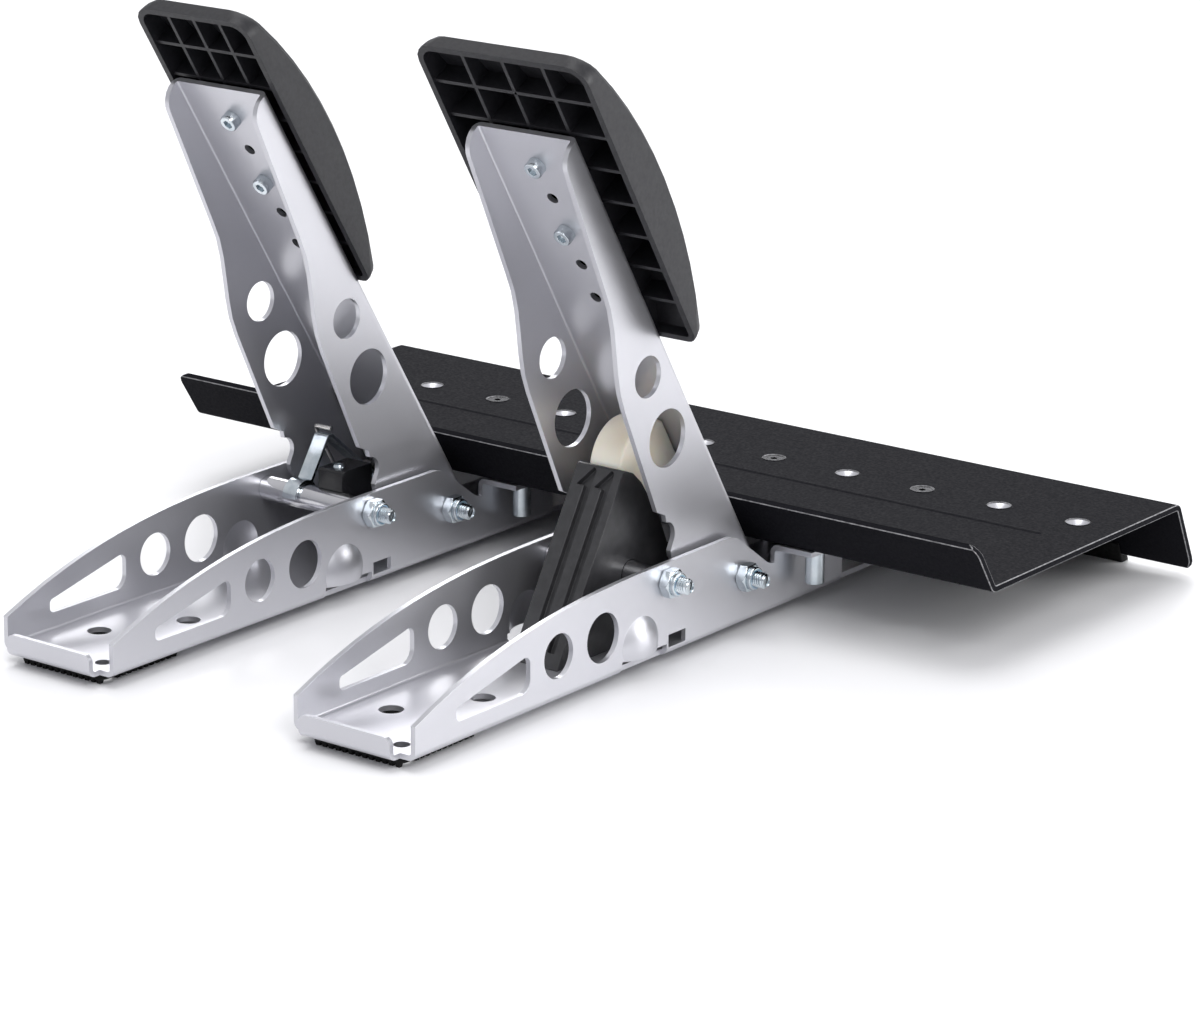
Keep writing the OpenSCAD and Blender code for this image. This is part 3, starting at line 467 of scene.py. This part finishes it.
# fasteners
hexPart = {"across": 10*mm, "head": 4*mm, "nut": 4.2*mm, "collar": 1.8*mm, "tail": 10.5*mm, "shank": 3*mm,
           "pitch": 1*mm, "core": 2.45*mm, "crests": (0.38, 0.52), "root": 0.9, "threadSides": 28,
           "tipCut": 0.9*mm, "face": 0.95, "corner": 1.02, "slope": 0.58, "dish": 0.34, "dishDeep": 0.5*mm,
           "ease": 0.12*mm, "plain": 4*mm, "threadFrom": 3*mm, "lap": 0.2*mm}
lockRing = {"inset": 0.55*mm, "mouth": 3.75*mm, "mouthEnd": 2*mm, "bore": 3.05*mm, "radius": 3.5*mm,
            "wire": 0.52*mm, "lap": 0.3*mm}
over = 1*mm  # how far a cutter reaches past what it cuts


def hexBody(low, high, chamferLow, chamferHigh):
    # hexagon along X whose corners are turned off at one or both ends
    across = hexPart["across"]
    body = cylinder(across/2/cos(pi/6), low, high, 6)
    outer = across/2/cos(pi/6)*hexPart["corner"]
    face = across/2*hexPart["face"]
    slope = (outer - face)*hexPart["slope"]
    turned = cylinder(outer, low, high, 64)
    for vertex in turned.data.vertices:
        atLow = vertex.co.x < (low + high)/2
        if (atLow and chamferLow) or (not atLow and chamferHigh):
            vertex.co.y *= face/outer
            vertex.co.z *= face/outer
    ends = [(low, chamferLow), (high, chamferHigh)]
    activate(turned)
    bpy.ops.object.mode_set(mode="EDIT")
    for end, wanted in ends:
        if wanted:
            bpy.ops.mesh.select_all(action="SELECT")
            inward = slope if end == low else -slope
            bpy.ops.mesh.bisect(plane_co=(end + inward, 0, 0), plane_no=(1, 0, 0))
    bpy.ops.object.mode_set(mode="OBJECT")
    for vertex in turned.data.vertices:
        inside = low + slope*0.5 < vertex.co.x < high - slope*0.5
        reach = sqrt(vertex.co.y**2 + vertex.co.z**2)
        if inside and reach > face*0.5:
            vertex.co.y *= outer/reach
            vertex.co.z *= outer/reach
    cutAway(body, turned, "INTERSECT")
    return body


def threadedRod(low, high):
    # helical thread along X with a turned-off tip at its low end
    pitch, core, outer = hexPart["pitch"], hexPart["core"], hexPart["shank"]
    mesh = bpy.data.meshes.new("threadProfile")
    rise, fall = hexPart["crests"]
    profile = [(core, 0), (outer, pitch*rise), (outer, pitch*fall),
               (core, pitch*hexPart["root"]), (core, pitch)]
    mesh.from_pydata([(r, 0, h) for r, h in profile], [(i, i + 1) for i in range(4)], [])
    rod = bpy.data.objects.new("thread", mesh)
    bpy.context.collection.objects.link(rod)
    turns, sides = int((high - low)/pitch) + 3, hexPart["threadSides"]
    applyModifier(rod, "SCREW", axis="Z", angle=2*pi, screw_offset=pitch, iterations=turns,
                  steps=sides, render_steps=sides, use_normal_calculate=True)
    rod.location = (0, 0, low - pitch*1.5)
    bakePlace(rod)
    fixNormals(rod)
    activate(rod)
    bpy.ops.object.mode_set(mode="EDIT")
    for place, side in ((low, True), (high, False)):
        bpy.ops.mesh.select_all(action="SELECT")
        bpy.ops.mesh.bisect(plane_co=(0, 0, place), plane_no=(0, 0, 1), use_fill=True,
                            clear_inner=side, clear_outer=not side)
    bpy.ops.object.mode_set(mode="OBJECT")
    for vertex in rod.data.vertices:
        reach = sqrt(vertex.co.x**2 + vertex.co.y**2)
        limit = outer - hexPart["tipCut"] + abs(vertex.co.z - low)
        if reach > limit:
            vertex.co.x *= limit/reach
            vertex.co.y *= limit/reach
    rod.rotation_euler = (0, pi/2, 0)
    bakePlace(rod)
    return rod


def makeBolt(name, place, half):
    top = half + hexPart["head"]
    head = hexBody(half, top, False, True)
    cutAway(head, cylinder(hexPart["across"]*hexPart["dish"], top - hexPart["dishDeep"], top + over))
    roundEdges(head, hexPart["ease"], 1)
    shank = cylinder(hexPart["shank"], -half - hexPart["plain"], half + hexPart["lap"], 32)
    thread = threadedRod(-half - hexPart["tail"], -half - hexPart["threadFrom"])
    bolt = joinAll([head, shank, thread], name)
    bolt.location = place
    bakePlace(bolt)
    smooth(bolt, 28)
    return bolt


def makeNut(place, half):
    # the nut's faces along X, from the rail outwards: seat, shoulder, end of the collar
    seat, shoulder = -half, -half - hexPart["nut"]
    end = shoulder - hexPart["collar"]
    inset = lockRing["inset"]
    body = hexBody(shoulder, seat, True, True)
    collar = cylinder(hexPart["across"]/2 - inset, end, shoulder + lockRing["lap"], 56)
    roundEdges(collar, inset, 4)
    cutAway(collar, cylinder(lockRing["mouth"], end - over, seat - lockRing["mouthEnd"], 40))
    cutAway(body, cylinder(lockRing["bore"], shoulder - over, seat + over, 40))
    roundEdges(body, hexPart["ease"], 1)
    for part in (body, collar):
        part.data.materials.append(materials["bright_zinc"])
    bpy.ops.mesh.primitive_torus_add(major_radius=lockRing["radius"], minor_radius=lockRing["wire"],
                                     major_segments=48, minor_segments=12, rotation=(0, pi/2, 0),
                                     location=(end + inset, 0, 0))
    ring = bpy.context.object
    bakePlace(ring)
    ring.data.materials.append(materials["nylon"])
    nut = joinAll([body, collar, ring], "nutDraft")
    nut.location = place
    bakePlace(nut)
    smooth(nut, 30)
    return nut


for side, pedal in pedals.items():
    for ending in ("hinge", "front"):
        nodeName = side + "_" + ending + "_bolt"
        bolt = makeBolt(side + ending.title() + "Bolt", pedal[ending], railHalf)
        settle(bolt, "frame", nodeName)
    nuts = [makeNut(pedal[ending], railHalf) for ending in ("hinge", "front")]
    settle(joinAll(nuts, side + "LockNuts"), "frame", side + "_nuts")
print("bolts and nuts made")

padScrew = {"head": 3.5*mm, "height": 4*mm, "shank": 2*mm, "length": 10.5*mm, "socket": 3.3*mm,
            "deep": 2*mm, "ridges": 36, "taper": 0.84, "top": 0.9, "groove": 0.965, "grooveWide": 0.5,
            "ease": 0.1*mm, "lap": 0.3*mm, "along": (189.3*mm, 157.3*mm), "seat": -12.5*mm}


def makeCapScrew(look):
    # socket screw standing on Z = 0, with a knurled head
    bpy.ops.mesh.primitive_cylinder_add(vertices=look["ridges"]*2, radius=look["head"], depth=look["height"],
                                        location=(0, 0, look["height"]/2))
    head = bpy.context.object
    bakePlace(head)
    activate(head)
    bpy.ops.object.mode_set(mode="EDIT")
    bpy.ops.mesh.select_all(action="SELECT")
    bpy.ops.mesh.bisect(plane_co=(0, 0, look["height"]*look["taper"]), plane_no=(0, 0, 1))
    bpy.ops.object.mode_set(mode="OBJECT")
    step = 2*pi/look["ridges"]
    for vertex in head.data.vertices:
        turn = Vector((vertex.co.x, vertex.co.y)).angle_signed(Vector((1, 0)))
        groove = abs((turn/step) % 1 - 0.5) < look["grooveWide"]/2
        top = vertex.co.z > look["height"]*(1 + look["taper"])/2
        shrink = look["top"] if top else look["groove"] if groove else 1
        vertex.co.x *= shrink
        vertex.co.y *= shrink
    bottom = look["height"] - look["deep"]
    cutAway(head, cylinder(look["socket"]/2/cos(pi/6), bottom, look["height"] + over, 6, "Z"))
    roundEdges(head, look["ease"], 1, 50)
    shank = cylinder(look["shank"], -look["length"], look["lap"], 32, "Z")
    return joinAll([head, shank], "capScrewDraft")


for side, pedal in pedals.items():
    screws = []
    for along in padScrew["along"]:
        screw = makeCapScrew(padScrew)
        screw.rotation_euler = (-pi/2, 0, 0)
        screw.location = (0, padScrew["seat"], along)
        bakePlace(screw)
        onArm(screw, pedal)
        smooth(screw, 30)
        screws.append(screw)
    settle(joinAll(screws, side + "PadScrews"), pedal["body"], side + "_pad_screws")
print("pad screws made")

plateScrew = {"head": 4.35*mm, "cone": 2.1*mm, "shank": 2.5*mm, "length": 16.4*mm, "socket": 3.2*mm,
              "deep": 1.7*mm, "points": 6, "valley": 0.72, "rim": 0.26*mm, "lap": 0.01*mm,
              "shankLap": 0.1*mm, "lowered": 0.1*mm}


def makePlateScrew(look):
    # countersunk screw whose top lies on Z = 0, with a six-pointed socket
    head = cylinder(look["shank"], -look["cone"], look["lap"] - look["rim"], 48, "Z", tip=look["head"])
    rim = cylinder(look["head"], -look["rim"], -look["lowered"], 48, "Z")
    shank = cylinder(look["shank"], -look["length"], -look["cone"] + look["shankLap"], 32, "Z")
    socket = cylinder(look["socket"]/2, -look["deep"], over, look["points"]*2, "Z")
    for vertex in socket.data.vertices:
        turn = Vector((vertex.co.x, vertex.co.y)).angle_signed(Vector((1, 0)))
        if round(turn/(pi/look["points"])) % 2:
            vertex.co.x *= look["valley"]
            vertex.co.y *= look["valley"]
    fixNormals(head)
    for part in (head, rim):
        spare = socket.copy()
        spare.data = socket.data.copy()
        bpy.context.collection.objects.link(spare)
        cutAway(part, spare)
    bpy.data.objects.remove(socket)
    return joinAll([head, rim, shank], "plateScrewDraft")


screwDraft = makePlateScrew(plateScrew)
screws = []
for side, pedal in pedals.items():
    for offset in (-holePitch, holePitch):
        for row in plateHoles["rows"]:
            screws.append(duplicate(screwDraft, (pedal["hinge"].x + offset, row, plateHoles["top"])))
bpy.data.objects.remove(screwDraft)
plateScrews = joinAll(screws, "heelPlateScrews")
smooth(plateScrews, 30)
settle(plateScrews, "frame", "heel_plate_screws")
print("plate screws made")

# sensor screw: pan head with a socket
sensorScrew = easedCopy("throttle_sensor_screw", "sensorScrew", 0.15*mm)
settle(sensorScrew, "frame", "throttle_sensor_screw")

# return spring: the same path as the solid's, as a round wire
armHalf, armSheet, webPlace = 22.5*mm, 2*mm, -14.5*mm
springWire = {"wire": 1.9*mm, "coil": 10.4*mm, "turns": 2.5, "leg": 44*mm, "steps": 16, "legSteps": 6,
              "fromWall": 0.4*mm, "fromWeb": 0.05*mm, "fromSaddle": 0.1*mm, "pitch": 2.35*mm,
              "apex": (33.3*mm, 32.8*mm), "saddle": 6.8*mm, "hookBend": 2*mm, "blendReach": 8*mm}


def springPath(look, lean):
    coil, wire = look["coil"], look["wire"]
    start = armHalf - armSheet - wire/2 - look["fromWall"]
    end = start - look["pitch"]*look["turns"]
    top = Vector((webPlace + armSheet + wire/2 + look["fromWeb"], look["leg"]))
    across, up = look["apex"][0], look["apex"][1] + wire/2 + look["fromSaddle"]
    hook = Vector((cos(lean)*across - sin(lean)*up, sin(lean)*across + cos(lean)*up))
    steps, legSteps = look["steps"], look["legSteps"]
    path = []
    for i in range(legSteps):
        spot = top.lerp(Vector((-coil, 0)), i/legSteps)
        path.append((start, spot.x, spot.y))
    for i in range(int(steps*look["turns"]) + 1):
        turn = pi + 2*pi*i/steps
        path.append((start - look["pitch"]*i/steps, coil*cos(turn), coil*sin(turn)))
    root = Vector((coil, 0))
    along = (hook - root).normalized()
    bend = look["hookBend"]
    for i in range(1, legSteps + 1):
        spot = root.lerp(hook - along*bend, i/legSteps)
        path.append((end, spot.x, spot.y))
    for degrees in (22.5, 45, 67.5, 90):
        spot = hook - along*bend*(1 - sin(radians(degrees)))
        path.append((end - bend*(1 - cos(radians(degrees))), spot.x, spot.y))
    path.append((end - bend - look["saddle"], hook.x, hook.y))
    return path


def makeSpring(look, pedal):
    curve = bpy.data.curves.new("springPath", "CURVE")
    curve.dimensions = "3D"
    curve.bevel_depth = look["wire"]/2
    curve.bevel_resolution = 3
    curve.use_fill_caps = True
    spline = curve.splines.new("POLY")
    path = springPath(look, pedal["lean"])
    spline.points.add(len(path) - 1)
    for point, spot in zip(spline.points, path):
        point.co = (*spot, 1)
    spring = bpy.data.objects.new("returnSpring", curve)
    bpy.context.collection.objects.link(spring)
    activate(spring)
    bpy.ops.object.convert(target="MESH")
    spring = bpy.context.object
    onArm(spring, pedal)
    fixNormals(spring)
    smooth(spring, 50)
    return spring


throttle = pedals["throttle"]
spring = makeSpring(springWire, throttle)
spring.data.materials.append(materials["spring_wire"])
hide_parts("throttle_spring")
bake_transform(spring)
print("return spring wound")

# brake elastomer: a soft roller that the arm presses on, copied with its edges eased
softRoller = {"ease": 1.2*mm, "seat": 17*mm, "keep": 0.82}
elastomer = easedCopy("brake_elastomer", "brakeElastomer", softRoller["ease"], 5)
elastomer.data.materials.append(materials["elastomer_cream"])
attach(elastomer, "frame")
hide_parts("brake_elastomer")
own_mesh(elastomer)
print("elastomer made")

# rubber pads under the rails: a slab on rows of small studs
# holes: across and forward from the hinge, and radius; bare: the corners beyond this have no studs
studMat = {"slab": 2.6*mm, "pitch": 3*mm, "foot": 0.75*mm, "head": 1.15*mm, "lap": 0.2*mm,
           "holes": [(10.4*mm, 158.6*mm, 5.8*mm), (-15.5*mm, 184*mm, 4.3*mm)], "bare": (18.2*mm, 18.6*mm)}


def makeStudMat(side, look):
    nodeName = side + "_rail_pad"
    low, high = (Vector(corner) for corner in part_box(nodeName))
    slab = easedCopy(nodeName, side + "PadDraft", 0.2*mm, 1)
    for vertex in slab.data.vertices:
        share = (vertex.co.z - low.z)/(high.z - low.z)
        vertex.co.z = high.z - look["slab"]*(1 - share)
    studTop = high.z - look["slab"] + look["lap"]
    bpy.ops.mesh.primitive_cone_add(vertices=4, radius1=look["foot"]*sqrt(2), radius2=look["head"]*sqrt(2),
                                    depth=studTop - low.z, rotation=(0, 0, pi/4),
                                    location=(0, 0, (studTop + low.z)/2))
    stud = bpy.context.object
    bakePlace(stud)
    middle = (low + high)/2
    countX = int((high.x - low.x - 2*look["head"])/look["pitch"])
    countY = int((high.y - low.y - 2*look["head"])/look["pitch"])
    hinge = pedals[side]["hinge"]
    studs = []
    for i in range(countX + 1):
        for j in range(countY + 1):
            x = middle.x + (i - countX/2)*look["pitch"]
            y = middle.y + (j - countY/2)*look["pitch"]
            overHole = any((x - hinge.x - a)**2 + (y - hinge.y - b)**2 < r*r for a, b, r in look["holes"])
            inCorner = abs(x - middle.x) > look["bare"][0] and abs(y - middle.y) > look["bare"][1]
            if not overHole and not inCorner:
                studs.append(duplicate(stud, (x, y, 0)))
    bpy.data.objects.remove(stud)
    mat = joinAll([slab] + studs, side + "StudMat")
    smooth(mat, 30)
    return mat


for side in pedals:
    settle(makeStudMat(side, studMat), "frame", side + "_rail_pad")
print("rubber pads made")


# floor, lamps and world
studio = {"floor": (0.84, 0.84, 0.85), "floorRough": (0.38, 0.44), "floorSize": 30, "floorCloud": 1.5,
          "worldLow": (0.60, 0.61, 0.64), "worldHigh": (0.95, 0.95, 0.98), "worldTop": 0.85,
          "worldStrength": 0.8,
          "lamps": [("keyLamp", (-3.0, 1.8, 3.0), 2.6, 1.6, 80), ("topLamp", (0.2, 0.2, 3.8), 2.6, 2.6, 60),
                    ("rimLamp", (1.8, -2.6, 2.2), 2.2, 1.0, 40),
                    ("sideLamp", (-3.2, -2.4, 1.1), 2.4, 1.6, 70)]}


def makeStudio(look):
    bpy.ops.mesh.primitive_plane_add(size=look["floorSize"], location=(0, 0, 0))
    floor = bpy.context.object
    floor.name = "paleFloor"
    material, tree, shader, place = startMaterial("paleFloor", {"shader": {
        "Base Color": (*look["floor"], 1), "Specular IOR Level": 0.2}})
    varyRoughness(tree, addNoise(tree, place, look["floorCloud"]), shader, *look["floorRough"])
    floor.data.materials.append(material)
    for name, place, width, height, power in look["lamps"]:
        bpy.ops.object.light_add(type="AREA", location=place,
                                 rotation=(-Vector(place)).to_track_quat("-Z", "Y").to_euler())
        lamp = bpy.context.object
        lamp.name = name
        lamp.data.shape = "RECTANGLE"
        lamp.data.size = width
        lamp.data.size_y = height
        lamp.data.energy = power
    world = bpy.data.worlds.new("studioWorld")
    bpy.context.scene.world = world
    world.use_nodes = True
    tree = world.node_tree
    background = tree.nodes["Background"]
    background.inputs["Strength"].default_value = look["worldStrength"]
    place = tree.nodes.new("ShaderNodeTexCoord")
    split = tree.nodes.new("ShaderNodeSeparateXYZ")
    ramp = tree.nodes.new("ShaderNodeValToRGB")
    ramp.color_ramp.elements[0].color = (*look["worldLow"], 1)
    ramp.color_ramp.elements[1].color = (*look["worldHigh"], 1)
    ramp.color_ramp.elements[1].position = look["worldTop"]
    tree.links.new(place.outputs["Generated"], split.inputs["Vector"])
    tree.links.new(split.outputs["Z"], ramp.inputs["Fac"])
    tree.links.new(ramp.outputs["Color"], background.inputs["Color"])
    bpy.context.scene.view_settings.view_transform = "Standard"


makeStudio(studio)
print("studio set")
